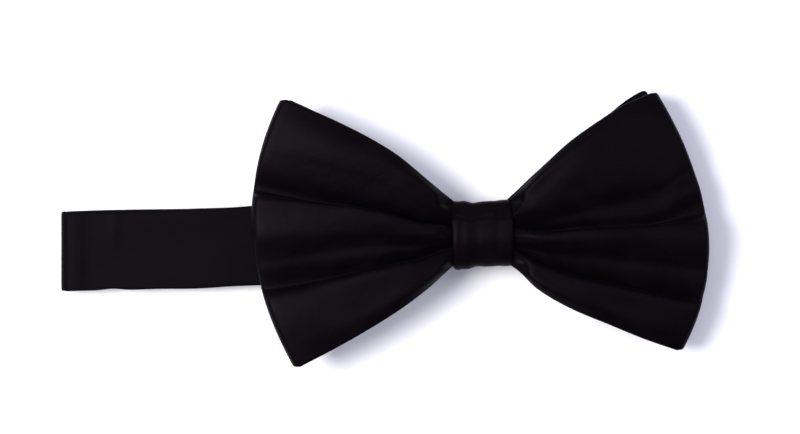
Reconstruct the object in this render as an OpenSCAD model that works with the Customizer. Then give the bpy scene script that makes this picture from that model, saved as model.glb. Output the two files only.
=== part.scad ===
// Pre-tied bow tie with an adjustable neck band, lying flat with its front up.
// Millimetres. X runs along the neck band, Y across it and Z up from the table.
// The origin is on the table, under the middle of the knot.

/* [Bow] */
// Width of the bow from wing end to wing end
bow_w = 118.4; // [112:0.2:124]
// Height of each wing at its outer end
wing_h = 67; // [62:0.5:71]
// Height of the bow where it is gathered inside the knot
waist_h = 14.4; // [12:0.2:14.6]
// How far each wing's outer edge bows out past its corners
end_bulge = 9; // [7:0.5:10.5]
// Turn of the bow against the band, degrees
bow_turn = -1.2; // [-2:0.1:2]
// Turn of the rear loop against the front loop, degrees
rear_turn = 1.4; // [-1.4:0.1:1.4]
// Half of the front loop's thickness out on the wings
front_half = 2; // [1.8:0.1:2.3]
// Half of the rear loop's thickness out on the wings
rear_half = 1.8; // [1.7:0.05:1.85]
// Thickness of one ply of the bow: satin, interlining and satin
ply_t = 1.1; // [1.0:0.05:1.2]
// Thickness of the satin on each side of the interlining
satin_t = 0.3; // [0.25:0.05:0.35]

/* [Knot] */
// Width of the knot along the band
knot_w = 16; // [14:0.5:17]
// Height of the knot across the band
knot_h = 18.4; // [18:0.1:19]
// Thickness of the knot's satin wrap
wrap_t = 0.6; // [0.5:0.05:0.6]

/* [Neck band] */
// Width of the neck band
band_w = 21; // [19:0.5:21.4]
// Width of the band's two ends, which pass behind the knot
end_w = 15; // [14:0.5:16]
// Thickness of the neck band
band_t = 0.6; // [0.5:0.05:0.6]
// Distance from the knot to the fold at the left
left_reach = 110.5; // [106:0.5:130]
// Distance from the knot to the fold at the right
right_reach = 55; // [54:0.5:56]

/* [Closure] */
// Distance of the eye's bar to the right of the knot
eye_x = 22; // [21:0.5:24]
// Distance of the hook's bar to the left of the knot
hook_x = 40; // [36:1:44]
// Distance of the slider's middle to the right of the knot
slider_x = 26; // [25:0.5:28]
// Radius of the slider's middle bar
mid_bar_r = 0.38; // [0.3:0.02:0.38]
// Radius of the eye's bar
eye_bar_r = 0.36; // [0.3:0.02:0.36]
// Radius of the hook's bar
hook_bar_r = 0.5; // [0.4:0.05:0.6]
// Overall width of the metal slider
slider_w = 18.8; // [18.4:0.1:19.4]
// Length of the slider along the band
slider_len = 12; // [11:0.5:12]
// Width of the hook's tongue
tongue_w = 9; // [8:0.5:10]

/* [Build] */
// Sub-part to build, or all of them

/* [Hidden] */
$fn = 48;
satin = [0.055, 0.05, 0.06];
band_satin = [0.06, 0.055, 0.065];
interlining = [0.85, 0.84, 0.8];
thread = [0.09, 0.085, 0.095];
metal = [0.75, 0.76, 0.78];

// Heights of the layers, from the table up
air = 0.3;
close = 0.25;
eye_loop_r = eye_bar_r + 0.09 + band_t;
z_slider = 2 * eye_loop_r + air;
end_bar_t = 0.6;
z_low = z_slider + end_bar_t + close;
z_tail = z_low + band_t + close;
tail_loop_r = mid_bar_r + 0.07 + band_t;
z_mid_bar = z_tail + tail_loop_r;
z_return = z_tail + 2 * tail_loop_r - band_t;
hook_loop_r = (z_return + band_t - z_low) / 2;
z_hook_bar = z_low + hook_loop_r;
z_knot = z_return + band_t + 0.5;
z_top = z_knot + wrap_t + 0.1;

// Gathered middle of the bow, and the knot around it
thread_d = 0.5;
z_thread = z_top + band_t + 0.1;
rear_low = 1.4;
front_low = 1.45;
z_rear = z_thread + thread_d + 0.15 + rear_low;
z_front = z_rear + rear_low + 0.1 + front_low;
thread_h = z_front + front_low + 0.2 + thread_d - z_thread;
knot_d = z_thread + thread_h + 0.2 + wrap_t - z_knot;
front_rise = z_rear + rear_half + 0.25 + front_half - z_front;

// Radii of the two folds of the band
left_r = (z_top + band_t) / 2;
right_r = (z_top + band_t - z_low) / 2;
left_x = -left_reach + left_r;
right_x = right_reach - right_r;
slack_end = -hook_x + 9.4;

function ease(t) = t * t * (3 - 2 * t);

// Edge of a loop seen along Y, from near the gathered middle to the wing's end
function ply_edge(reach, low, high, rise, side) = [
  for (i = [1:16])
    let (t = i / 16, k = ease(min(1, t / 0.55)))
    [(reach - high) * t, rise * k + side * (low + (high - low) * k)]
];

function wing_cap(reach, high, rise) = [
  for (a = [75:-15:-75])
    [reach - high + high * cos(a), rise + high * sin(a)]
];

function turned(list) = [for (i = [len(list) - 1:-1:0]) list[i]];

function both_sides(list) = concat(list, [for (p = turned(list)) [-p[0], p[1]]]);

// What lies deeper than inset below the outside of a loop, endless along Y
module loop_bulk(inset, low, high, rise) {
  reach = bow_w / 2 - inset;
  rotate([90, 0, 0])
    linear_extrude(wing_h + 10, center = true)
      polygon(both_sides(concat(
        ply_edge(reach, low - inset, high - inset, rise, 1),
        wing_cap(reach, high - inset, rise),
        turned(ply_edge(reach, low - inset, high - inset, rise, -1))
      )));
}

// Space between the curved outer ends of the two wings
module between_ends(inset) {
  half = wing_h / 2;
  arc_r = (half * half + end_bulge * end_bulge) / (2 * end_bulge);
  translate([0, 0, -12])
    linear_extrude(30)
      intersection_for (side = [-1, 1])
        translate([side * (bow_w / 2 - arc_r), 0])
          circle(arc_r - inset, $fn = 180);
}

// Bow seen from the front: narrow at the knot and wide at both ends
module wings_outline(inset) {
  end_x = bow_w / 2 + 1;
  corner_x = end_x - end_bulge;
  waist_x = knot_w / 2 + 1;
  half = wing_h / 2 - inset;
  w = waist_h / 2 - inset;
  right = [
    [waist_x, w], [22, w + 8.8], [corner_x, half], [end_x, half - 6],
    [end_x, -half + 6], [corner_x, -half], [22, -w - 8.8], [waist_x, -w]
  ];
  translate([0, 0, -12])
    linear_extrude(30)
      polygon(both_sides(right));
}

module loop_volume(inset, edge, low, high, rise) {
  intersection() {
    loop_bulk(inset, low, high, rise);
    between_ends(inset);
    wings_outline(edge);
  }
}

// The hollow of a loop, which is open along both long edges of the bow
module loop_hollow(inset, low, high, rise) {
  intersection() {
    loop_bulk(inset, low, high, rise);
    between_ends(inset);
  }
}

// Interlining between the satin's two sides, short of the bow's long edges
module loop_filler(clear, low, high, rise) {
  difference() {
    loop_volume(satin_t + clear, 1.2 + clear, low, high, rise);
    loop_hollow(ply_t - satin_t - clear, low, high, rise);
  }
}

module loop_shell(low, high, rise) {
  difference() {
    loop_volume(0, 0, low, high, rise);
    loop_hollow(ply_t, low, high, rise);
    loop_filler(0, low, high, rise);
  }
}

module place_front() {
  translate([0, 0.5, z_front])
    rotate([0, 0, bow_turn])
      children();
}

module place_rear() {
  translate([0, 0.5, z_rear])
    rotate([0, 0, bow_turn + rear_turn])
      children();
}

// Ring of band or wire round the X axis, open from end to end
module sleeve(length, width, height, wall, corner) {
  rotate([90, 0, 90])
    linear_extrude(length, center = true)
      difference() {
        rounded(width, height, corner);
        rounded(width - 2 * wall, height - 2 * wall, corner - wall);
      }
}

module rounded(w, h, r) {
  square([w - 2 * r, h], center = true);
  square([w, h - 2 * r], center = true);
  for (x = [-1, 1], y = [-1, 1])
    translate([x * (w / 2 - r), y * (h / 2 - r)])
      circle(r);
}

// Flat run of band from x0 to x1 with its underside at z
module run(x0, x1, z, w, t = band_t) {
  translate([x0, -w / 2, z])
    cube([x1 - x0, w, t]);
}

// Half turn of band about a line along Y; way is 1 to the right, -1 to the left
module half_turn(x, z, r, way, w = band_w, t = band_t) {
  translate([x, 0, z])
    rotate([90, 0, 0])
      linear_extrude(w, center = true)
        intersection() {
          difference() {
            circle(r);
            circle(r - t);
          }
          translate([way * (r + 1) / 2, 0])
            square([r + 1, 2 * r + 2], center = true);
        }
}

// Row of thread through two layers of band
module tack_row(x, z, h, w) {
  count = floor((w / 2 - 1) / 1.45);
  for (i = [-count:count])
    translate([x + (i % 2 == 0 ? 0.35 : -0.35), i * 1.45, z])
      cylinder(h, r = 0.3, $fn = 16);
}

module bar_y(r, length) {
  rotate([90, 0, 0])
    cylinder(length, r = r, center = true);
}

module front_loop() {
  color(satin)
    place_front()
      loop_shell(front_low, front_half, front_rise);
}

module front_interlining() {
  color(interlining)
    place_front()
      loop_filler(0.04, front_low, front_half, front_rise);
}

module rear_loop() {
  color(satin)
    place_rear()
      loop_shell(rear_low, rear_half, 0.1);
}

module rear_interlining() {
  color(interlining)
    place_rear()
      loop_filler(0.04, rear_low, rear_half, 0.1);
}

module gather_thread() {
  color(thread)
    for (i = [-2:2])
      translate([i * 0.9, 0, z_thread + thread_h / 2])
        sleeve(0.5, knot_h - 1.6, thread_h, thread_d, 1.2);
}

// The wrap has a folded pleat that runs across its front, near the top edge
module knot_wrap() {
  color(satin) {
    translate([0, 0, z_knot + knot_d / 2])
      sleeve(knot_w, knot_h, knot_d, wrap_t, 2);
    translate([-knot_w / 2 + 0.4, 2.6, z_knot + knot_d - 0.1])
      cube([knot_w - 0.8, 4.4, 0.6]);
  }
}

module knot_stitches() {
  color(thread)
    for (i = [-3:3])
      translate([i * 1.9, -1.5, z_knot - 0.14])
        rotate([90, 0, i % 2 == 0 ? 12 : -12])
          cylinder(2.4, r = 0.12, center = true, $fn = 16);
}

// One tube of satin: over the front, round the right fold and back underneath
module neck_band() {
  narrow = knot_h / 2 - wrap_t - 1.3;
  color(band_satin) {
    translate([0, 0, z_top])
      linear_extrude(band_t)
        polygon([
          [left_x, -band_w / 2], [-16, -band_w / 2], [-9, -narrow], [9, -narrow],
          [16, -end_w / 2], [right_x, -end_w / 2], [right_x, end_w / 2],
          [16, end_w / 2], [9, narrow], [-9, narrow], [-16, band_w / 2],
          [left_x, band_w / 2]
        ]);
    half_turn(right_x, z_low + right_r, right_r, 1, end_w);
    run(slack_end, right_x, z_low, end_w);
  }
}

module band_slack() {
  color(band_satin)
    run(-hook_x + 0.02, slack_end - 0.02, z_low, end_w);
}

module band_left_fold() {
  color(band_satin)
    difference() {
      half_turn(left_x, left_r, left_r, -1);
      translate([left_x - 0.02, -band_w, -1])
        cube([1, 2 * band_w, 20]);
    }
}

module band_eye_side() {
  color(band_satin) {
    linear_extrude(band_t)
      polygon([
        [left_x, -band_w / 2], [-40, -band_w / 2], [-24, -end_w / 2],
        [eye_x, -end_w / 2], [eye_x, end_w / 2], [-24, end_w / 2],
        [-40, band_w / 2], [left_x, band_w / 2]
      ]);
    half_turn(eye_x, eye_loop_r, eye_loop_r, 1, end_w);
    run(eye_x - 14, eye_x, 2 * eye_loop_r - band_t, end_w);
  }
}

module eye_tack() {
  color(thread)
    tack_row(eye_x - 7, band_t + 0.02, 2 * (eye_loop_r - band_t) - 0.04, end_w);
}

// Stamped loop that the hook's tongue goes into
module eye() {
  plate_t = 0.7;
  side = end_w / 2 + 1.3;
  color(metal)
    translate([eye_x, 0, eye_loop_r]) {
      bar_y(eye_bar_r, end_w + 1.6);
      translate([0, 0, -plate_t / 2])
        linear_extrude(plate_t)
          difference() {
            polygon([
              [-0.5, -side], [4, -side], [11, -8.2], [12, -7.2],
              [12, 7.2], [11, 8.2], [4, side], [-0.5, side]
            ]);
            translate([-1, -end_w / 2 - 0.4])
              square([4, end_w + 0.8]);
            translate([7.3, 0])
              rounded(5.8, 13, 1.2);
          }
    }
}

module band_loop_bend() {
  color(band_satin)
    half_turn(-hook_x, z_hook_bar, hook_loop_r, -1, end_w);
}

module band_return() {
  color(band_satin)
    run(-hook_x + 0.02, slider_x - 6.04, z_return, end_w);
}

// End of the band, sewn round the slider's middle bar
module band_tail() {
  color(band_satin) {
    run(slider_x - 6, slider_x, z_return, end_w - 0.4);
    half_turn(slider_x, z_mid_bar, tail_loop_r, 1, end_w - 0.4);
    run(slider_x - 6, slider_x, z_tail, end_w - 0.4);
  }
}

module slider_tack() {
  color(thread)
    tack_row(slider_x - 3.4, z_tail + band_t + 0.02, 2 * (tail_loop_r - band_t) - 0.04, end_w);
}

// Stepped slider: the band lies over both end bars and under the middle bar
module slider() {
  rail = (slider_w - end_w - 1.2) / 2;
  rail_h = z_mid_bar + mid_bar_r - z_slider;
  color(metal)
    translate([slider_x, 0, z_slider])
      intersection() {
        union() {
          for (side = [-1, 1])
            translate([side * (slider_len / 2 - 0.8) - 0.8, -slider_w / 2, 0])
              cube([1.6, slider_w, end_bar_t]);
          for (side = [-1, 1])
            translate([-slider_len / 2, side * (slider_w - rail) / 2 - rail / 2, 0])
              cube([slider_len, rail, rail_h]);
          translate([0, 0, z_mid_bar - z_slider])
            bar_y(mid_bar_r, slider_w - 1);
        }
        linear_extrude(rail_h + 1)
          rounded(slider_len, slider_w, 1.4);
      }
}

// Stamped hook: a bar in the band's loop, a tongue and its turned-back lip
module hook() {
  plate_t = 0.8;
  lip = 5;
  curl_r = 1.4;
  tip = -13.4;
  side = end_w / 2 + 1.3;
  color(metal)
    translate([-hook_x, 0, z_hook_bar]) {
      bar_y(hook_bar_r, end_w + 1.6);
      translate([0, 0, -plate_t / 2])
        linear_extrude(plate_t)
          difference() {
            polygon([
              [0.5, -side], [-5, -side], [-8, -tongue_w / 2], [tip, -tongue_w / 2],
              [tip, tongue_w / 2], [-8, tongue_w / 2], [-5, side], [0.5, side]
            ]);
            translate([-4, -end_w / 2 - 0.4])
              square([5, end_w + 0.8]);
          }
      translate([tip, 0, plate_t / 2 - curl_r])
        rotate([90, 0, 0])
          linear_extrude(tongue_w, center = true) {
            intersection() {
              difference() {
                circle(curl_r);
                circle(curl_r - plate_t);
              }
              translate([-curl_r - 1, 0])
                square([2 * curl_r + 2, 2 * curl_r + 2], center = true);
            }
            translate([0, -curl_r])
              square([lip, plate_t]);
          }
    }
}

front_loop();
front_interlining();
rear_loop();
rear_interlining();
gather_thread();
knot_wrap();
knot_stitches();
neck_band();
band_slack();
band_left_fold();
band_eye_side();
eye_tack();
eye();
band_loop_bend();
band_return();
band_tail();
slider_tack();
slider();
hook();
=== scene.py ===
import math

import bmesh
import bpy
import numpy as np
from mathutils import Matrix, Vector


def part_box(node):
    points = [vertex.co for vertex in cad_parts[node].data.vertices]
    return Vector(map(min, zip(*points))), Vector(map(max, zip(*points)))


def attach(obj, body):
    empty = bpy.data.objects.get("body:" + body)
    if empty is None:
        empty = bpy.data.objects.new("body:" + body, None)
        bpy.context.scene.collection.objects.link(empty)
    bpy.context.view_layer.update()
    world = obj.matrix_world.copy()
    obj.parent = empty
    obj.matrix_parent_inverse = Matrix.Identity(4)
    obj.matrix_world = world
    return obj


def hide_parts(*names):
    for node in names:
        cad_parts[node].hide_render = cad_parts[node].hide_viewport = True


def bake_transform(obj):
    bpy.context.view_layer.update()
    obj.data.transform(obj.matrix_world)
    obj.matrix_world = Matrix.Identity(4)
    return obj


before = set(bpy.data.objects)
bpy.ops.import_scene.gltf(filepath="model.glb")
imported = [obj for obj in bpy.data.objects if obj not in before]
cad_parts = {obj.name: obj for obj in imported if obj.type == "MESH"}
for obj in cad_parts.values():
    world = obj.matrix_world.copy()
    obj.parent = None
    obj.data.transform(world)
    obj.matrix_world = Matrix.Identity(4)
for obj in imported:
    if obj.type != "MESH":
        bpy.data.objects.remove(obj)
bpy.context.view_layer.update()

MM = 0.001


# ---------------------------------------------------------------- helpers
def mm_box(node):
    """A CAD node's box in millimetres, as (low, high) arrays."""
    lo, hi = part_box(node)
    return np.array(lo) / MM, np.array(hi) / MM


def pchip(x, y, t):
    """Monotone cubic through the points (x, y), read at t."""
    x, y, t = np.asarray(x, float), np.asarray(y, float), np.asarray(t, float)
    h = np.diff(x)
    d = np.diff(y) / h
    m = np.zeros_like(y)
    m[0], m[-1] = d[0], d[-1]
    for i in range(1, len(x) - 1):
        if d[i - 1] * d[i] > 0:
            w1, w2 = 2 * h[i] + h[i - 1], h[i] + 2 * h[i - 1]
            m[i] = (w1 + w2) / (w1 / d[i - 1] + w2 / d[i])
    k = np.clip(np.searchsorted(x, t, side="right") - 1, 0, len(x) - 2)
    s = np.clip((t - x[k]) / h[k], 0, 1)
    a, b = y[k], y[k + 1]
    return (
        a * (2 * s**3 - 3 * s**2 + 1)
        + m[k] * h[k] * (s**3 - 2 * s**2 + s)
        + b * (-2 * s**3 + 3 * s**2)
        + m[k + 1] * h[k] * (s**3 - s**2)
    )


def ease(t):
    """Rises smoothly from 0 to 1 as t does, and stays there outside."""
    t = np.clip(t, 0, 1)
    return t * t * (3 - 2 * t)


def wobble(a, b, seed, waves, low, high):
    """Smooth noise about -1 to 1 over two coordinates, the same each run."""
    r = np.random.default_rng(seed)
    out = np.zeros(np.broadcast(a, b).shape)
    for _ in range(waves):
        fa, fb = r.uniform(low, high, 2) * r.choice([-1, 1], 2)
        out = out + np.sin(2 * math.pi * (fa * a + fb * b) + r.uniform(0, 6.28))
    return out / waves**0.5


def strip_normals(p, closed):
    """Unit normals of a strip's middle surface."""
    if closed:
        ds = np.roll(p, -1, axis=0) - np.roll(p, 1, axis=0)
    else:
        ds = np.gradient(p, axis=0)
    dv = np.gradient(p, axis=1)
    n = np.cross(ds, dv)
    return n / np.maximum(np.linalg.norm(n, axis=2, keepdims=True), 1e-9)


def thick_strip(name, p, thick, edge, closed=False):
    """A strip of cloth as a closed mesh with its long edges rounded over the width edge.

    p is its middle surface in millimetres, as rows along the strip by points across it.
    Its UVs are the strip laid flat, in metres."""
    p = np.asarray(p, float)
    rows, cols = p.shape[:2]
    n = strip_normals(p, closed)
    step = np.linalg.norm(np.diff(p, axis=1), axis=2)
    across = np.concatenate([np.zeros((rows, 1)), np.cumsum(step, axis=1)], axis=1)
    near = np.minimum(across, across[:, -1:] - across)
    round_off = np.sqrt(np.clip(1 - (1 - np.clip(near / edge, 0, 1)) ** 2, 0, 1))
    half = (np.broadcast_to(thick, (rows, cols)) / 2 * round_off)[..., None]
    top, low = p + n * half, p - n * half
    ring = np.concatenate([top, low[:, -2:0:-1]], axis=1)
    around = ring.shape[1]
    along = np.concatenate(
        [[0], np.cumsum(np.linalg.norm(np.diff(p, axis=0), axis=2).mean(axis=1))]
    )
    verts = (ring * MM).reshape(-1, 3)
    faces = []
    for i in range(rows if closed else rows - 1):
        a, b = i * around, ((i + 1) % rows) * around
        for j in range(around):
            k = (j + 1) % around
            faces.append((a + j, a + k, b + k, b + j))
    if not closed:
        for i, flip in ((0, False), (rows - 1, True)):
            a = i * around
            for j in range(cols - 1):
                lj, lk = (around - j) % around, around - j - 1
                if j == 0:
                    quad = (a, a + 1, a + lk)
                elif j == cols - 2:
                    quad = (a + j, a + j + 1, a + lj)
                else:
                    quad = (a + j, a + j + 1, a + lk, a + lj)
                faces.append(quad[::-1] if flip else quad)
    mesh = bpy.data.meshes.new(name)
    mesh.from_pydata(verts.tolist(), [], faces)
    v_of = np.concatenate([across, across[:, -2:0:-1]], axis=1)
    s_of = np.repeat(along[:, None], around, axis=1)
    flat_v, flat_s = v_of.ravel(), s_of.ravel()
    layer = mesh.uv_layers.new(name="cloth")
    wrap = along[-1] + np.linalg.norm(p[-1] - p[0], axis=1).mean()
    uv = np.empty((len(mesh.loops), 2))
    loop_vert = np.empty(len(mesh.loops), np.int64)
    mesh.loops.foreach_get("vertex_index", loop_vert)
    uv[:, 0], uv[:, 1] = flat_s[loop_vert], flat_v[loop_vert]
    if closed:  # the last row of faces ends at the strip's whole length
        start = (rows - 1) * around * 4
        seam = slice(start, start + around * 4)
        at_zero = loop_vert[seam] < around
        uv[seam, 0] = np.where(at_zero, wrap, uv[seam, 0])
    layer.data.foreach_set("uv", (uv * MM).ravel())
    return finish_mesh(name, mesh)


def finish_mesh(name, mesh):
    """The mesh as a smooth-shaded object with its normals outwards."""
    bm = bmesh.new()
    bm.from_mesh(mesh)
    bmesh.ops.recalc_face_normals(bm, faces=bm.faces)
    bm.to_mesh(mesh)
    bm.free()
    mesh.polygons.foreach_set("use_smooth", [True] * len(mesh.polygons))
    mesh.update()
    o = bpy.data.objects.new(name, mesh)
    bpy.context.scene.collection.objects.link(o)
    return o


THREAD_TIP = 0.55  # width of a thread's end against its middle


def tube(name, paths, radius, sides=8):
    """One mesh of round threads, each along its own list of points, with narrowed ends."""
    verts, faces = [], []
    for path in paths:
        path = np.asarray(path, float)
        tang = np.gradient(path, axis=0)
        tang /= np.linalg.norm(tang, axis=1, keepdims=True)
        ref = np.array([0.0, 0.0, 1.0]) if abs(tang[0][2]) < 0.9 else np.array([1.0, 0, 0])
        base = len(verts)
        count = len(path)
        for i, (c, t) in enumerate(zip(path, tang)):
            a = np.cross(t, ref)
            a /= np.linalg.norm(a)
            b = np.cross(t, a)
            ref = np.cross(a, t)
            r = radius * (THREAD_TIP if i in (0, count - 1) else 1.0)
            for k in range(sides):
                w = 2 * math.pi * k / sides
                verts.append((c + r * (a * math.cos(w) + b * math.sin(w))) * MM)
        for i in range(count - 1):
            for k in range(sides):
                q = (k + 1) % sides
                r0, r1 = base + i * sides, base + (i + 1) * sides
                faces.append((r0 + k, r0 + q, r1 + q, r1 + k))
        faces.append(tuple(base + k for k in range(sides))[::-1])
        faces.append(tuple(base + (count - 1) * sides + k for k in range(sides)))
    mesh = bpy.data.meshes.new(name)
    mesh.from_pydata([tuple(v) for v in verts], [], faces)
    return finish_mesh(name, mesh)


# ---------------------------------------------------------------- camera, floor, light
TILT = math.radians(3.1)  # the picture is turned this much against the band
scene = bpy.context.scene
cam_data = bpy.data.cameras.new("camera")
cam_data.lens = 100
cam_data.sensor_width = 36
cam_data.clip_start = 0.01
CAM_PLACE = (-0.0213, 0.00566, 0.5944)  # straight above, to the left of the knot
cam = bpy.data.objects.new("camera", cam_data)
scene.collection.objects.link(cam)
cam.location = CAM_PLACE
cam.rotation_euler = (0, 0, -TILT)
scene.camera = cam

scene.view_settings.view_transform = "Standard"
scene.view_settings.look = "None"
scene.view_settings.exposure = 0
scene.view_settings.gamma = 1

world = bpy.data.worlds.new("studio")
scene.world = world
world.use_nodes = True
sky = world.node_tree.nodes["Background"]
sky.inputs["Color"].default_value = (0.82, 0.82, 1.0, 1)
# a light tent: bright overhead, dim towards the table, leaning towards +Y
TENT_LEAN = math.radians(18)
way_up = world.node_tree.nodes.new("ShaderNodeTexCoord")
split = world.node_tree.nodes.new("ShaderNodeSeparateXYZ")
dim = world.node_tree.nodes.new("ShaderNodeMapRange")
dim.interpolation_type = "SMOOTHSTEP"
for key, value in (("From Min", 0.4), ("From Max", 0.98), ("To Min", 0.2), ("To Max", 1.22)):
    dim.inputs[key].default_value = value
lean = world.node_tree.nodes.new("ShaderNodeMapping")
lean.inputs["Rotation"].default_value = (TENT_LEAN, 0, 0)
world.node_tree.links.new(way_up.outputs["Generated"], lean.inputs["Vector"])
world.node_tree.links.new(lean.outputs["Vector"], split.inputs["Vector"])
world.node_tree.links.new(split.outputs["Z"], dim.inputs["Value"])
world.node_tree.links.new(dim.outputs["Result"], sky.inputs["Strength"])


def area_light(name, azimuth, elevation, distance, size, power, colour):
    """A round light that faces the knot; azimuth is counted from +X towards +Y."""
    data = bpy.data.lights.new(name, "AREA")
    data.shape = "DISK"
    data.size = size
    data.energy = power
    data.color = colour
    o = bpy.data.objects.new(name, data)
    scene.collection.objects.link(o)
    az, el = math.radians(azimuth), math.radians(elevation)
    way = Vector((math.cos(el) * math.cos(az), math.cos(el) * math.sin(az), math.sin(el)))
    o.location = Vector((0, 0, 0.01)) + way * distance
    o.rotation_euler = way.to_track_quat("Z", "Y").to_euler()


area_light("key", 172, 58, distance=0.62, size=0.28, power=4.6, colour=(1.0, 0.985, 0.96))
area_light("fill", 5, 44, distance=1.4, size=0.8, power=5.0, colour=(0.86, 0.86, 1.0))

FLOOR = 3.0  # half of its side
floor_mesh = bpy.data.meshes.new("floor")
floor_mesh.from_pydata(
    [(-FLOOR, -FLOOR, 0), (FLOOR, -FLOOR, 0), (FLOOR, FLOOR, 0), (-FLOOR, FLOOR, 0)], [], [(0, 1, 2, 3)]
)
floor = bpy.data.objects.new("floor", floor_mesh)
scene.collection.objects.link(floor)


# ---------------------------------------------------------------- materials
class Nodes:
    """Short names for building one material's node tree."""

    def __init__(self, name, **values):
        self.mat = bpy.data.materials.new(name)
        self.mat.use_nodes = True
        self.tree = self.mat.node_tree
        self.bsdf = self.tree.nodes["Principled BSDF"]
        for key, value in values.items():
            self.bsdf.inputs[key.replace("_", " ")].default_value = value

    def add(self, kind, **values):
        node = self.tree.nodes.new(kind)
        for key, value in values.items():
            if key in node.inputs:
                node.inputs[key].default_value = value
            else:
                setattr(node, key, value)
        return node

    def link(self, out, into):
        self.tree.links.new(out, into)

    def shade(self, out, socket):
        self.link(out, self.bsdf.inputs[socket])

    def scaled(self, out, scale):
        mapping = self.add("ShaderNodeMapping")
        mapping.inputs["Scale"].default_value = scale
        self.link(out, mapping.inputs["Vector"])
        return mapping.outputs["Vector"]

    def coords(self, scale):
        """Place on the cloth laid flat: along the strip, then across it."""
        return self.scaled(self.add("ShaderNodeUVMap", uv_map="cloth").outputs["UV"], scale)

    def object_coords(self, scale):
        return self.scaled(self.add("ShaderNodeTexCoord").outputs["Object"], scale)

    def noise(self, where, detail, roughness=0.5):
        node = self.add("ShaderNodeTexNoise", Scale=1.0, Detail=detail, Roughness=roughness)
        self.link(where, node.inputs["Vector"])
        return node.outputs["Fac"]

    def wave(self, where, **values):
        node = self.add("ShaderNodeTexWave", Scale=1.0, bands_direction="DIAGONAL", **values)
        self.link(where, node.inputs["Vector"])
        return node.outputs["Fac"]

    def ramp(self, fac, start, dark, end, light):
        """Colour between dark and light as fac goes from start to end."""
        node = self.add("ShaderNodeValToRGB")
        for e, place, colour in zip(node.color_ramp.elements, (start, end), (dark, light)):
            e.position = place
            e.color = (*colour, 1)
        self.link(fac, node.inputs["Fac"])
        return node.outputs["Color"]

    def spread(self, fac, start, end, low, high):
        """A number between low and high as fac goes from start to end."""
        node = self.add("ShaderNodeMapRange")
        for key, value in (("From Min", start), ("From Max", end), ("To Min", low), ("To Max", high)):
            node.inputs[key].default_value = value
        self.link(fac, node.inputs["Value"])
        return node.outputs["Result"]

    def bump(self, height, strength, distance, over=None):
        node = self.add("ShaderNodeBump", Strength=strength, Distance=distance)
        self.link(height, node.inputs["Height"])
        if over is not None:
            self.link(over, node.inputs["Normal"])
        return node.outputs["Normal"]


def satin(name, dark, light, rough, specular):
    """Warp-faced satin: long fine floats along the strip, a soft uneven sheen."""
    m = Nodes(
        name,
        Specular_IOR_Level=specular,
        Specular_Tint=(0.97, 0.84, 1.0, 1),
        Sheen_Weight=0.004,
        Sheen_Roughness=0.45,
        Sheen_Tint=(0.9, 0.88, 1.0, 1),
    )
    # threads run along the strip, about a tenth of a millimetre apart
    floats = m.noise(m.coords((900.0, 9000.0, 1.0)), 2.0, 0.55)
    weave = m.wave(m.coords((1500.0, 2600.0, 1.0)), Distortion=1.2, Detail=1.0)
    mix = m.add("ShaderNodeMath", operation="MULTIPLY_ADD")
    mix.inputs[1].default_value = 0.6
    m.link(weave, mix.inputs[0])
    m.link(floats, mix.inputs[2])
    mottled = m.noise(m.coords((110.0, 160.0, 1.0)), 3.0)
    m.shade(m.ramp(mottled, 0.3, dark, 0.7, light), "Base Color")
    m.shade(m.spread(mottled, 0.3, 0.7, *rough), "Roughness")
    fine = m.bump(mix.outputs["Value"], 0.35, 0.00004)
    rumple = m.noise(m.coords((260.0, 420.0, 1.0)), 2.0)
    m.shade(m.bump(rumple, 0.5, 0.00012, over=fine), "Normal")
    return m.mat


def thread_material():
    m = Nodes("thread", Roughness=0.6, Specular_IOR_Level=0.2)
    twist_and_groove_shade = m.wave(m.object_coords((2200.0, 2200.0, 2200.0)), Distortion=0.5)
    # the twist's ridges are painted lighter and its grooves darker: painted shade in the grooves, on top of
    # the same twist's bump
    m.shade(m.ramp(twist_and_groove_shade, 0.0, (0.006, 0.005, 0.007), 1.0, (0.02, 0.018, 0.022)), "Base Color")
    m.shade(m.bump(twist_and_groove_shade, 0.6, 0.00005), "Normal")
    return m.mat


def lining_material():
    m = Nodes("interlining", Roughness=0.9, Specular_IOR_Level=0.2)
    fibres = m.noise(m.coords((1500.0, 1500.0, 1.0)), 4.0, 0.65)
    m.shade(m.ramp(fibres, 0.3, (0.62, 0.6, 0.55), 0.7, (0.84, 0.82, 0.77)), "Base Color")
    m.shade(m.bump(fibres, 0.5, 0.0001), "Normal")
    return m.mat


def metal_material():
    """Nickel plate with fine scratches along Y and a slightly uneven tone."""
    m = Nodes("nickel", Metallic=1.0)
    brushed = m.noise(m.object_coords((2500.0, 300.0, 2500.0)), 4.0, 0.6)
    worn = m.noise(m.object_coords((240.0, 240.0, 240.0)), 3.0)
    m.shade(m.ramp(worn, 0.3, (0.56, 0.56, 0.57), 0.7, (0.7, 0.69, 0.68)), "Base Color")
    m.shade(m.spread(brushed, 0.0, 1.0, 0.16, 0.38), "Roughness")
    m.shade(m.bump(brushed, 0.25, 0.00003), "Normal")
    return m.mat


def floor_material():
    m = Nodes("paper", Roughness=0.85, Specular_IOR_Level=0.1)
    grain = m.noise(m.object_coords((60.0, 60.0, 60.0)), 3.0)
    m.shade(m.ramp(grain, 0.3, (0.86, 0.86, 0.87), 0.7, (0.89, 0.89, 0.9)), "Base Color")
    return m.mat


BOW_SATIN = satin(
    "bow_satin",
    dark=(0.0011, 0.0006, 0.0012),
    light=(0.0019, 0.0011, 0.0021),
    rough=(0.42, 0.52),
    specular=0.034,
)
BAND_SATIN = satin(
    "band_satin",
    dark=(0.0012, 0.0007, 0.0013),
    light=(0.002, 0.0012, 0.0022),
    rough=(0.5, 0.56),
    specular=0.026,
)
THREAD, LINING, METAL = thread_material(), lining_material(), metal_material()
floor.data.materials.append(floor_material())


def dress(o, material):
    """Gives a piece its material."""
    o.data.materials.clear()
    o.data.materials.append(material)
    return o


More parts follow.
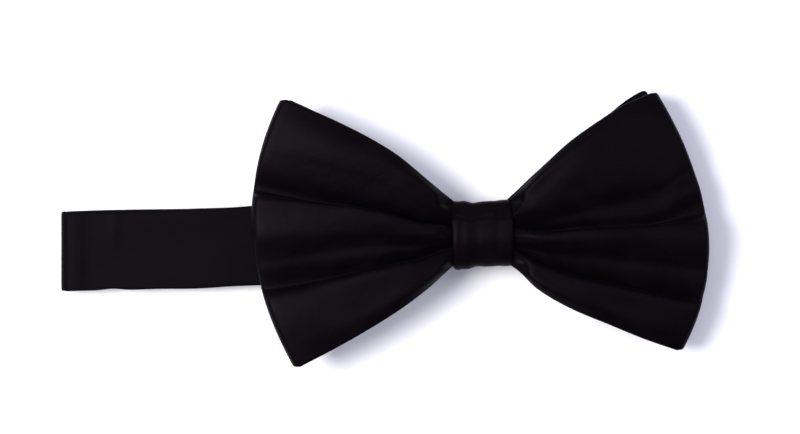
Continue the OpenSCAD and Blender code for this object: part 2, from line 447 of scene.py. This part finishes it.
# ---------------------------------------------------------------- bow
# Each wing, in millimetres and degrees: "top" and "bottom" are its edges from the knot out to
# its corners; "bulge" and "skew" shape its outer end; "crest" is the height of its pleats at
# CREST_AT; "tilt", "droop" and "dents" bend it up and down; "turn", "short" and "slim" say how
# far the rear loop is turned, shorter and narrower there.
LEFT = {
    "side": -1,
    "top": [
        (-8.2, 8.2), (-11.5, 11.4), (-15.5, 15.2), (-23, 22.0), (-30.6, 27.1), (-40, 32.4), (-50.6, 37.6),
    ],
    "bottom": [
        (-8.2, -7.0), (-11.6, -9.2), (-17, -13.4), (-23.4, -17.8), (-30, -21.6), (-40, -26.7), (-50.8, -31.7),
    ],
    "bulge": 9.0,
    "skew": 0.06,
    "turn": -0.1,
    "tilt": 3.2,
    "crest": [13.9, 14.3, 16.4, 19.4, 20.8, 21.1, 20.8, 20.5],
    "droop": 0.5,
    "dents": [],
    "short": 1.6,
    "slim": 0.05,
}
RIGHT = {
    "side": 1,
    "top": [
        (8.2, 7.7), (12, 10.9), (17, 15.5), (25.7, 22.8), (33.4, 27.8), (41, 32.1), (47.7, 34.6),
    ],
    "bottom": [
        (8.2, -8.1), (10.9, -10.5), (15, -15.0), (23.4, -20.6), (33, -25.2), (42.6, -29.7), (50.9, -33.1),
    ],
    "bulge": 9.35,
    "skew": -0.18,
    "turn": 1.2,
    "tilt": -1.0,
    "crest": [13.9, 14.3, 16.2, 18.6, 19.3, 18.0, 16.4, 15.3],
    "droop": 2.5,
    "dents": [(0.4, 0.16, 1.6)],
    "short": 1.9,
    "slim": 0.085,
}
U_MID = -0.2  # u is this at the knot's middle, 0 at its edge and 1 at the wing's outer end
CREST_AT = [U_MID, 0.0, 0.12, 0.3, 0.5, 0.75, 0.92, 1.0]
STATIONS = [0.0, 0.3, 0.75, 1.0]  # values of u
# Pleat lines of each wing: place across it at the four stations, then height there
LEFT["pleats"] = [
    ((-1, -1, -1, -1), (-1.0, -2.2, -1.3, -0.5)),
    ((-0.84, -0.84, -0.84, -0.84), (0, 0, 0, 0)),
    ((-0.62, -0.55, -0.54, -0.54), (-0.2, -0.3, -0.3, -0.2)),
    ((-0.54, -0.46, -0.45, -0.45), (-0.5, -0.9, -0.9, -0.7)),
    ((-0.46, -0.37, -0.37, -0.38), (-1.4, -4.7, -4.9, -4.0)),
    ((-0.38, -0.29, -0.29, -0.3), (-1.1, -3.5, -3.7, -3.1)),
    ((-0.33, -0.21, -0.21, -0.22), (-0.8, -2.4, -2.4, -2.2)),
    ((-0.29, -0.17, -0.17, -0.19), (-0.7, -2.3, -2.5, -2.3)),
    ((-0.22, -0.1, -0.09, -0.1), (-0.3, -1.1, -1.3, -1.2)),
    ((-0.14, -0.03, -0.01, -0.01), (0.1, 0, -0.1, 0)),
    ((-0.02, 0.08, 0.12, 0.14), (0.3, 0.3, 0.2, 0.2)),
    ((0.1, 0.2, 0.28, 0.3), (-0.1, -0.2, -0.1, -0.1)),
    ((0.2, 0.28, 0.36, 0.38), (-1.4, -4.6, -5.6, -5.0)),
    ((0.28, 0.34, 0.43, 0.46), (-1.1, -3.4, -3.5, -3.2)),
    ((0.38, 0.42, 0.5, 0.53), (-0.8, -2.3, -2.1, -1.9)),
    ((0.48, 0.51, 0.58, 0.61), (-0.5, -1.3, -1.2, -1.1)),
    ((0.62, 0.65, 0.68, 0.71), (-0.2, -0.4, -0.4, -0.3)),
    ((0.8, 0.82, 0.83, 0.84), (0, 0, 0, 0)),
    ((1, 1, 1, 1), (-1.1, -2.4, -1.5, -0.5)),
]
# Tucked valleys at the stations: the pleat's edge, the valley's foot, the end of the pull, its depth
LEFT["tucks"] = [
    (
        (0.1, 0.19, 0.26, 0.28),
        (0.19, 0.27, 0.35, 0.37),
        (0.42, 0.5, 0.58, 0.6),
        (0.06, 0.11, 0.12, 0.06),
    ),
    (
        (-0.54, -0.44, -0.43, -0.43),
        (-0.46, -0.37, -0.37, -0.38),
        (-0.2, -0.08, -0.06, -0.07),
        (0.05, 0.08, 0.08, 0.05),
    ),
]
RIGHT["pleats"] = [
    ((-1, -1, -1, -1), (-1.0, -2.2, -1.6, -0.9)),
    ((-0.86, -0.88, -0.88, -0.88), (0, 0, 0, 0)),
    ((-0.68, -0.72, -0.75, -0.76), (-0.1, -0.2, -0.3, -0.2)),
    ((-0.54, -0.61, -0.64, -0.65), (-0.6, -0.8, -0.9, -0.7)),
    ((-0.47, -0.53, -0.57, -0.59), (-1.4, -4.8, -5.1, -3.6)),
    ((-0.4, -0.44, -0.49, -0.54), (-1.1, -3.4, -3.0, -1.8)),
    ((-0.37, -0.4, -0.44, -0.48), (-1.0, -3.0, -2.3, -1.3)),
    ((-0.34, -0.36, -0.4, -0.4), (-0.9, -2.8, -2.6, -2.0)),
    ((-0.27, -0.28, -0.32, -0.31), (-0.5, -1.5, -1.6, -1.2)),
    ((-0.2, -0.2, -0.23, -0.22), (0, -0.2, -0.3, -0.2)),
    ((-0.03, -0.13, -0.15, -0.13), (0.3, 0.3, 0.2, 0.2)),
    ((0.14, -0.04, -0.06, -0.02), (0, -0.1, -0.1, -0.1)),
    ((0.24, 0.06, 0.04, 0.07), (-1.3, -4.9, -5.2, -3.9)),
    ((0.3, 0.14, 0.12, 0.26), (-1.1, -3.7, -3.1, -1.4)),
    ((0.34, 0.18, 0.18, 0.34), (-0.9, -3.3, -3.7, -2.2)),
    ((0.42, 0.3, 0.29, 0.42), (-0.6, -1.7, -1.8, -0.9)),
    ((0.52, 0.42, 0.4, 0.53), (-0.2, -0.7, -0.8, -0.5)),
    ((0.7, 0.66, 0.64, 0.7), (0, 0, -0.1, -0.2)),
    ((0.88, 0.88, 0.89, 0.9), (0, 0, 0.4, 0.4)),
    ((1, 1, 1, 1), (-1.1, -2.2, -1.3, -0.6)),
]
RIGHT["tucks"] = [
    (
        (0.14, -0.04, -0.06, -0.02),
        (0.23, 0.05, 0.03, 0.06),
        (0.4, 0.3, 0.26, 0.22),
        (0.05, 0.1, 0.1, 0.04),
    ),
    (
        (-0.53, -0.59, -0.62, -0.63),
        (-0.46, -0.52, -0.56, -0.58),
        (-0.34, -0.36, -0.42, -0.46),
        (0.04, 0.09, 0.09, 0.05),
    ),
]
PLY = 0.7  # satin, interlining and satin
LINING_T = 0.2
PLY_GAP = 0.1  # least gap between a loop's own plies
FRONT_BACK_Z, REAR_FRONT_Z, REAR_BACK_Z = 12.15, 11.15, 9.5  # flat plies at the knot
FOLD_TURNS = np.radians([67, 45, 22, 0, -22, -45, -67])  # round a loop's outer fold


def across_samples():
    """Places from -1 to 1 across a strip, closer together at its long edges."""
    inner = np.linspace(-0.95, 0.95, 96)
    edge = np.array([0.0, 0.004, 0.014, 0.03])
    return np.concatenate([-1 + edge, inner, 1 - edge[::-1]])


def plan(wing, u, v, turn, inset):
    """Where the point (u, v) of a wing lies, seen from the front; v runs from -1 to 1 across it."""
    side = wing["side"]
    top, low = np.array(wing["top"], float), np.array(wing["bottom"], float)
    tx = pchip(np.linspace(0, 1, len(top)), top[:, 0], np.clip(u, 0, 1))
    ty = pchip(side * top[:, 0], top[:, 1], side * tx)
    bx = pchip(np.linspace(0, 1, len(low)), low[:, 0], np.clip(u, 0, 1))
    by = pchip(side * low[:, 0], low[:, 1], side * bx)
    inside = np.clip(u / U_MID, 0, 1)  # between the knot's edge and its middle
    tx, bx = tx * (1 - inside), bx * (1 - inside)
    ty, by = ty * (1 - 0.18 * ease(inside * 2)), by * (1 - 0.12 * ease(inside * 2))
    t, b = np.stack([tx, ty], -1), np.stack([bx, by], -1)
    chord = t - b
    out = np.stack([chord[..., 1], -chord[..., 0]], -1)
    out = side * out / np.linalg.norm(out, axis=-1, keepdims=True)
    bow = wing["bulge"] * np.clip(u, 0, 1) ** 1.7 * (1 - v**2) * (1 + wing["skew"] * v)
    p = (t + b) / 2 + chord / 2 * v[..., None] + out * (bow - inset)[..., None]
    c, s = math.cos(turn), math.sin(turn)
    return np.stack([p[..., 0] * c - p[..., 1] * s, p[..., 0] * s + p[..., 1] * c], -1)


FINE_V = np.linspace(-1, 1, 401)


def softened(line, reach, spread):
    """A line over FINE_V, smoothed by a bell that is reach samples long on each side."""
    bell = np.exp(-((np.arange(-reach, reach + 1) / spread) ** 2))
    return np.convolve(np.pad(line, reach, mode="edge"), bell / bell.sum(), "valid")


def pleat_height(wing, u, v):
    """Height of the pleats against the crest, by rows of u and columns of v."""
    out = np.empty((len(u), len(v)))
    for i, a in enumerate(np.clip(u, 0, 1)):
        place = [pchip(STATIONS, k[0], [a])[0] for k in wing["pleats"]]
        height = [pchip(STATIONS, k[1], [a])[0] for k in wing["pleats"]]
        out[i] = np.interp(v, FINE_V, softened(pchip(place, height, FINE_V), 20, 7.0))
    return out


def tuck(wing, u, v):
    """How far the bottom of each deep valley is tucked in under the pleat beside it."""
    out = np.zeros((len(u), len(v)))
    for i, a in enumerate(np.clip(u, 0, 1)):
        line = np.zeros(len(FINE_V))
        for tucked in wing["tucks"]:
            edge, foot, end, depth = (pchip(STATIONS, k, [a])[0] for k in tucked)
            way = np.sign(foot - edge)
            share = np.interp((FINE_V - edge) * way, [0, abs(foot - edge), abs(end - edge)], [0, 1, 0])
            line -= depth * share * way
        out[i] = np.interp(v, FINE_V, softened(line, 14, 5.0))
    return out


def gathers(u, v, seed, size):
    """Fine wrinkles that leave the knot and fade along the wing."""
    r = np.random.default_rng(seed)
    out = np.zeros((len(u), len(v)))
    for _ in range(7):
        centre, width = r.uniform(-0.9, 0.9), r.uniform(0.04, 0.09)
        reach, amp = r.uniform(0.18, 0.5), r.uniform(-1, 1)
        fade = np.clip(1 - u / reach, 0, 1)[:, None] ** 1.5
        out += amp * fade * np.exp(-(((v[None, :] - centre) / width) ** 2))
    return out * size


def lay(wing, u, v, tilt):
    """Rise of a wing by its tilt, less the droop of its corners and its dents."""
    out = np.clip(u, 0, 1)[:, None]
    corner = ease((np.abs(v) - 0.3) / 0.7)[None, :]
    rise = tilt * out - wing["droop"] * corner * out**2
    for centre, width, depth in wing["dents"]:
        rise = rise - depth * np.exp(-(((v[None, :] - centre) / width) ** 2)) * out**3
    return rise


def ripples(u, v):
    """Small even pleats of the hidden plies, which the gathering makes near the knot."""
    start = np.random.default_rng(5).uniform(0, 6)
    fade = np.clip(1 - np.clip(u, 0, 1) / 0.62, 0, 1)[:, None] ** 0.8
    wave = np.sin(v[None, :] * 21 + start + 0.8 * np.sin(v[None, :] * 5 + 1.0))
    return 0.42 * fade * wave


k_lo, k_hi = mm_box("knot_wrap")
KNOT_T = 0.6
# The wrap's middle surface: height of its middle, half its height, half its width across Y
KNOT_MID, KNOT_TALL, KNOT_WIDE = (k_hi[2] + k_lo[2]) / 2, (k_hi[2] - k_lo[2]) / 2 - 0.45, 8.3
KNOT_FRONT_ROUND, KNOT_BACK_ROUND = 2.1, 3.4  # exponents of its oval, at the front and the back


def knot_front(c, x=0.0):
    """How far the knot's front stands off its oval: a flat middle and a ledge on the +Y side.

    c is -1 to 1 across the knot."""
    ledge = 0.42 + 0.05 * np.sin(x * 0.7 + 0.5)
    drop = (0.8 + 0.12 * np.sin(x * 0.9)) * ease((c - ledge) / 0.22)
    return 0.45 * (1 - ease((-c - 0.15) / 0.55)) - drop + 0.35 * ease((c - 0.78) / 0.2)


def under_knot(x, y, z):
    """Heights pressed down to fit inside the knot wrap, and freed just outside it."""
    c = np.clip(y / KNOT_WIDE, -0.97, 0.97)
    s = (1 - np.abs(c) ** KNOT_FRONT_ROUND) ** (1 / KNOT_FRONT_ROUND)
    r = (np.abs(c) ** 2 + s**2) ** 0.5
    top = KNOT_MID + KNOT_TALL * s + knot_front(c / r) * ease(s / r / 0.4)
    cap = top - KNOT_T / 2 - PLY / 2 - 0.15 + 1.7 * np.clip(np.abs(x) - 8.0, 0, None)
    return -np.logaddexp(-6 * z, -6 * cap) / 6


def wing_rows(wing, front, seed, fold):
    """Rows of one wing: along its front ply, round the outer fold, back along its back ply.

    fold is how far the outer fold stands out past the ends of the plies."""
    v = across_samples()
    u = np.concatenate([np.linspace(U_MID, 0, 5)[:-1], np.linspace(0, 1, 46)])
    vv = np.broadcast_to(v, (len(u), len(v)))
    uu = np.broadcast_to(u[:, None], vv.shape)
    turn = 0.0 if front else math.radians(wing["turn"])
    short = 0.15 if front else wing["short"]
    slim = 1.0 if front else 1.0 - wing["slim"] * (1 - ease((uu - 0.6) / 0.4))
    across = vv + tuck(wing, u, v) if front else vv * slim
    flat = plan(wing, uu, across, turn=turn, inset=short + fold)
    rise = lay(wing, u, v, wing["tilt"])
    nest = ripples(u, v)
    if front:
        z1 = pchip(CREST_AT, wing["crest"], u)[:, None] + pleat_height(wing, u, v)
        uneven = 0.2 * wobble(uu, vv, seed + 1, 5, 0.6, 2.2) * np.clip(uu * 3, 0, 1)
        z1 = z1 + gathers(u, v, seed, 0.35) + uneven
        z1 = z1 + lay(wing, u, v, 0.0)
        z1 = under_knot(flat[..., 0], flat[..., 1], z1)
        z2 = FRONT_BACK_Z + nest + rise + 0.05 * wobble(uu, vv, seed + 2, 5, 0.6, 2.0)
        # the front ply never comes closer to the back ply than the gap
        spare = z1 - (z2 + PLY + PLY_GAP)
        z1 = z2 + PLY + PLY_GAP + np.logaddexp(0, spare * 4) / 4
    else:
        z1 = REAR_FRONT_Z + nest + rise + 0.04 * wobble(uu, vv, seed + 1, 5, 0.6, 2.0)
        z2 = REAR_BACK_Z + nest + rise + 0.04 * wobble(uu, vv, seed + 2, 5, 0.6, 2.0)
    rows = [np.dstack([flat, z1])]
    mid, half = (z1[-1] + z2[-1]) / 2, (z1[-1] - z2[-1]) / 2
    for a in FOLD_TURNS:
        kept = (1 + math.sin(a)) / 2 if front else 0  # the tucks' share, none at the back ply
        v_here = vv[-1] + (across[-1] - vv[-1]) * kept
        out = plan(wing, uu[-1], v_here, turn=turn, inset=short + fold * (1 - math.cos(a)))
        rows.append(np.dstack([out[None], (mid + half * math.sin(a))[None]]))
    if front:
        flat = plan(wing, uu, vv, turn=turn, inset=short + fold)
    rows.append(np.dstack([flat, z2])[::-1])
    return np.concatenate(rows)


def loop_surface(front, seed, fold):
    """Middle surface of a whole loop, once round both wings."""
    right = wing_rows(RIGHT, front, seed, fold)
    left = wing_rows(LEFT, front, seed + 10, fold)
    # right wing out and back, then the left wing from its back ply to its front ply
    return np.concatenate([right, left[::-1][1:-1]])


front_p = loop_surface(True, seed=3, fold=1.5)
rear_p = loop_surface(False, seed=23, fold=0.8)
front_loop = thick_strip("front_bow_loop", front_p, PLY, edge=0.7, closed=True)
rear_loop = thick_strip("rear_bow_loop", rear_p, PLY, edge=0.7, closed=True)
INSIDE = slice(3, -3)  # the interlinings stop short of the satin's edges
front_lining = thick_strip("front_loop_interlining", front_p[:, INSIDE], LINING_T, edge=0.3, closed=True)
rear_lining = thick_strip("rear_loop_interlining", rear_p[:, INSIDE], LINING_T, edge=0.3, closed=True)
for o in (front_loop, rear_loop):
    dress(o, BOW_SATIN)
for o in (front_lining, rear_lining):
    dress(o, LINING)
for o, node in (
    (front_loop, "front_loop"),
    (rear_loop, "rear_loop"),
    (front_lining, "front_interlining"),
    (rear_lining, "rear_interlining"),
):
    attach(o, "bow")
    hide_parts(node)


# ---------------------------------------------------------------- knot
def oval(a, front, back):
    """Cosine and sine at the angle a, and the radius there of an oval with these exponents."""
    c, s = math.cos(a), math.sin(a)
    n = front if s > 0 else back
    return c, s, (abs(c) ** n + abs(s) ** n) ** (-1 / n)


def knot_surface():
    """Middle surface of the wrap: once round the waist, by places along X."""
    x = np.concatenate([[-8, -7.9, -7.7], np.linspace(-7.4, 7.4, 38), [7.7, 7.9, 8]])
    pleat = pchip(
        [-8, -6.9, -5.6, -4.2, -1.9, 0.6, 2.4, 3.6, 5.9, 7.3, 8],
        [-0.55, 0.1, -0.05, 0.08, -0.24, -0.02, 0.0, -0.06, 0.12, 0.06, -0.5],
        x,
    )
    wide = KNOT_WIDE + np.where(x < -2, 0.35, 0.0) * ease((-2 - x) / 3)  # a little wider at -X
    rows = []
    for a in np.radians(np.linspace(0, 360, 145)[:-1]):
        c, s, r = oval(a, KNOT_FRONT_ROUND, KNOT_BACK_ROUND)
        slant = 0.35 * math.sin(a * 2)  # the pleats don't run quite straight round
        p = np.interp(x - slant, x, pleat)
        y = (wide + p) * r * c
        z = KNOT_MID + (KNOT_TALL + 0.7 * p) * r * s + knot_front(c, x) * ease(s / 0.4)
        rows.append(np.stack([x, y, z], -1))
    return np.array(rows)


knot = thick_strip("knot_wrap_satin", knot_surface(), KNOT_T, edge=0.6, closed=True)
dress(knot, BOW_SATIN)
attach(knot, "bow")
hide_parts("knot_wrap")

# ---------------------------------------------------------------- neck band
nb_lo, nb_hi = mm_box("neck_band")
eye_lo, eye_hi = mm_box("band_eye_side")
bend_lo, bend_hi = mm_box("band_loop_bend")
tail_lo, tail_hi = mm_box("band_tail")
ret_lo, ret_hi = mm_box("band_return")
fold_lo, fold_hi = mm_box("band_left_fold")
BAND_T = 0.6
half_t = BAND_T / 2
# Half widths: in full, at the band's narrow ends, and inside the knot
band_half = (nb_hi[1] - nb_lo[1]) / 2
end_half = (ret_hi[1] - ret_lo[1]) / 2
waist_half = 7.0


def arc(cx, cz, r, a0, a1, count):
    """Points (x, z) round a centre, from one angle to another in degrees."""
    a = np.radians(np.linspace(a0, a1, count))
    return [(cx + r * math.cos(t), cz + r * math.sin(t)) for t in a]


def soft_fold(cx, cz, r):
    """Half turn to the left that stays flat for longest before it drops."""
    out = []
    for a in np.radians(np.linspace(90, 270, 27)):
        c, s, k = oval(a, 2.8, 2.8)
        out.append((cx + r * k * c, cz + r * k * s))
    return out


def straight(x0, x1, z, step):
    """Points (x, z) along a level run, about a step apart."""
    n = max(2, int(abs(x1 - x0) / step) + 1)
    return [(x, z) for x in np.linspace(x0, x1, n)]


def nothing(x, z):
    return 0.0


def no_lift(x, z, v):
    return 0.0 * v


def end_width(x, z):
    return end_half


def band_strip(name, path, width=end_width, shift=nothing, lift=no_lift, slant=nothing, reach=nothing):
    """A flat satin tube along a path of (x, z) points, and the path's length.

    By the place on the path, width is half its width, shift moves it along Y, lift moves it
    off the path, slant turns it and reach moves it to the left."""
    pts = [path[0]]
    for q in path[1:]:
        if math.dist(q, pts[-1]) > 1e-6:
            pts.append(q)
    pts = np.array(pts)
    edge = np.array([0, 0.012, 0.04])
    v = np.concatenate([-1 + edge, np.linspace(-0.92, 0.92, 26), 1 - edge[::-1]])
    length = np.cumsum(np.linalg.norm(np.diff(pts, axis=0), axis=1))[-1]
    tang = np.gradient(pts, axis=0)
    tang /= np.linalg.norm(tang, axis=1, keepdims=True)
    rows = []
    for (x, z), (tx, tz) in zip(pts, tang):
        up = lift(x, z, v)
        y = shift(x, z) + width(x, z) * v
        along = x - tz * up + slant(x, z) * y - reach(x, z)
        rows.append(np.stack([along, y, z + tx * up], -1))
    o = thick_strip(name, np.array(rows), BAND_T, edge=0.8)
    return dress(o, BAND_SATIN), float(length)


# Heights of the strands' middles, then places and radii of the folds and bars
z_top = nb_hi[2] - half_t
z_low = nb_lo[2] + half_t
left_r = (fold_hi[2] - fold_lo[2]) / 2
left_x = fold_hi[0]
right_r = (nb_hi[2] - nb_lo[2]) / 2
right_x = nb_hi[0] - right_r
eye_r = (eye_hi[2] - eye_lo[2]) / 2
eye_x = eye_hi[0] - eye_r
bend_r = (bend_hi[2] - bend_lo[2]) / 2
hook_x = bend_hi[0]
z_bend = (bend_lo[2] + bend_hi[2]) / 2
z_ret = ret_hi[2] - half_t
tail_r = (tail_hi[2] - tail_lo[2]) / 2
slide_x = tail_hi[0] - tail_r
z_slide = (tail_lo[2] + tail_hi[2]) / 2
CREASE_X = -97.0  # a light crease across the strap
PLAIN_X = -20.0  # the near strand lies plain and level from here to the right


def top_run(x, z):
    """Whether a place is on the near strand and not on the eye's strand below it."""
    return z > z_top - 0.4


def left_width(x, z):
    if not top_run(x, z):
        return band_half + (end_half - band_half) * float(np.clip((x + 40) / 16, 0, 1))
    if x > -17:
        return band_half + (waist_half - band_half) * float(ease((x + 17) / 7.5))
    pinch = 0.045 * math.exp(-(((x - CREASE_X) / 3.0) ** 2))
    return band_half * (1.0 - pinch + 0.008 * math.sin(x * 0.31))


def left_shift(x, z):
    if top_run(x, z):
        return float(ease((-70 - x) / 42)) * 1.05 + 0.2
    return 1.45 * float(ease((-60 - x) / 50))


def left_lift(x, z, v):
    if not top_run(x, z) or x > PLAIN_X:
        return no_lift(x, z, v)
    fade = float(ease((x - left_x) / 4) * ease((PLAIN_X - x) / 10))
    soft = 0.16 * wobble(np.full_like(v, x / 60), v * 0.4, 5, 5, 0.6, 1.6)
    crease = 0.3 * np.exp(-(((x - CREASE_X - 1.2 * v) / 0.9) ** 2)) * ease(v * 0.6 + 0.3)
    return fade * np.maximum(0.26 + 0.45 * soft - crease + 0.1 * (1 - v**2), -0.03)


def near_fold(x, z):
    """1 at the left fold, and 0 from 26 mm to the right of it."""
    return float(ease((left_x + 26 - x) / 26))


left_path = (
    straight(0.0, left_x, z_top, 1.0)
    + soft_fold(left_x, left_r, left_r - half_t)
    + straight(left_x, eye_x, half_t, 2.5)
    + arc(eye_x, eye_r, eye_r - half_t, -90, 90, 13)
    + straight(eye_x, eye_x - 14, 2 * eye_r - half_t, 2.0)
)
band_left, band_left_len = band_strip(
    "band_left_strand", left_path, left_width, left_shift, left_lift,
    slant=lambda x, z: 0.054 * near_fold(x, z),
    reach=lambda x, z: 1.1 * near_fold(x, z),
)


def right_width(x, z):
    if top_run(x, z) and x < 17:
        return end_half + (waist_half - end_half) * float(ease((17 - x) / 7.5))
    return end_half


SPLIT_X = 45.0  # where the strip that slides begins
right_path = (
    straight(0.0, right_x, z_top, 1.5)
    + arc(right_x, z_low - half_t + right_r, right_r - half_t, 90, -90, 15)
    + straight(right_x, SPLIT_X, z_low, 1.5)
)
band_right, band_right_len = band_strip("band_right_fold", right_path, right_width)

under_path = (
    straight(SPLIT_X, hook_x, z_low, 2.0)
    + arc(hook_x, z_bend, bend_r - half_t, 270, 90, 15)
)
band_under, band_under_len = band_strip("band_loop_strand", under_path)

return_path = (
    straight(hook_x, slide_x, z_ret, 2.0)
    + arc(slide_x, z_slide, tail_r - half_t, 90, -90, 13)
    + straight(slide_x, tail_lo[0], tail_lo[2] + half_t, 1.0)
)
band_return, band_return_len = band_strip(
    "band_return_strand", return_path, lambda x, z: end_half - 0.15
)

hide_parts("band_left_fold", "band_eye_side")
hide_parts("neck_band")
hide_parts("band_slack", "band_loop_bend")
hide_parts("band_return", "band_tail")
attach(band_right, "bow")
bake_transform(band_left)
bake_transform(band_under)
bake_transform(band_return)

# ---------------------------------------------------------------- thread
g_lo, g_hi = mm_box("gather_thread")
GATHER_TURNS, GATHER_LONG = 6, 3.8
GATHER_WIDE = 7.3  # half width of the coil across Y


def gather_path():
    """The coil that is wound round both loops inside the knot."""
    mid_z, tall = (g_lo[2] + g_hi[2]) / 2, (g_hi[2] - g_lo[2]) / 2 - 0.22
    per = 40
    count = GATHER_TURNS * per
    out = []
    for i in range(count + 1):
        c, s, r = oval(2 * math.pi * i / per, 2.3, 4)
        x = -GATHER_LONG / 2 + GATHER_LONG * i / count
        out.append((x, GATHER_WIDE * r * c, mid_z + tall * r * s))
    return out


gather = dress(tube("gathering_thread", [gather_path()], radius=0.21), THREAD)
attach(gather, "bow")
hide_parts("gather_thread")


def short_stitch(a, b, rise):
    """A stitch from a to b that stands proud by rise in its middle."""
    a, b = np.array(a, float), np.array(b, float)
    t = np.linspace(0, 1, 7)[:, None]
    return a + (b - a) * t + np.array([0, 0, rise]) * np.sin(math.pi * t)


# a row of slanted stitches across the seam at the knot's back
SEAM_START, SEAM_STEP, SEAM_COUNT = -6.4, 1.6, 9
SEAM_Y = (-2.7, -0.3)
seam = []
for i in range(SEAM_COUNT):
    x = SEAM_START + SEAM_STEP * i
    z = k_lo[2] + 0.30
    seam.append(short_stitch((x - 0.5, SEAM_Y[0], z), (x + 0.5, SEAM_Y[1], z), -0.34))
knot_seam = dress(tube("knot_seam_stitches", seam, radius=0.12), THREAD)
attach(knot_seam, "bow")
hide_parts("knot_stitches")


TACK_HALF, TACK_COUNT, TACK_REACH = 6.4, 26, 0.8  # half its row, its stitches, half a stitch


def bar_tack(name, x, z_up, node, body):
    """A dense zigzag row across the band, on the upper side of its folded end."""
    paths = []
    z = z_up - 0.08
    for i in range(TACK_COUNT):
        y = -TACK_HALF + 2 * TACK_HALF * i / (TACK_COUNT - 1)
        lean = 0.225 if i % 2 else -0.225
        paths.append(short_stitch((x - TACK_REACH, y - lean, z), (x + TACK_REACH, y + lean, z), 0.12))
    o = dress(tube(name, paths, radius=0.13, sides=6), THREAD)
    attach(o, body)
    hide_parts(node)


bar_tack("eye_bar_tack", eye_x - 7, 2 * eye_r, "eye_tack", "eye_strand")
bar_tack("slider_bar_tack", slide_x - 3.4, tail_hi[2], "slider_tack", "slider")

# ---------------------------------------------------------------- metal parts
for node in ("eye", "hook", "slider"):
    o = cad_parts[node]
    o.data.materials.clear()
    o.data.materials.append(METAL)
    bevel = o.modifiers.new("soft edge", "BEVEL")
    bevel.width = 0.00012
    bevel.segments = 2
    bevel.limit_method = "ANGLE"
    bevel.angle_limit = math.radians(40)
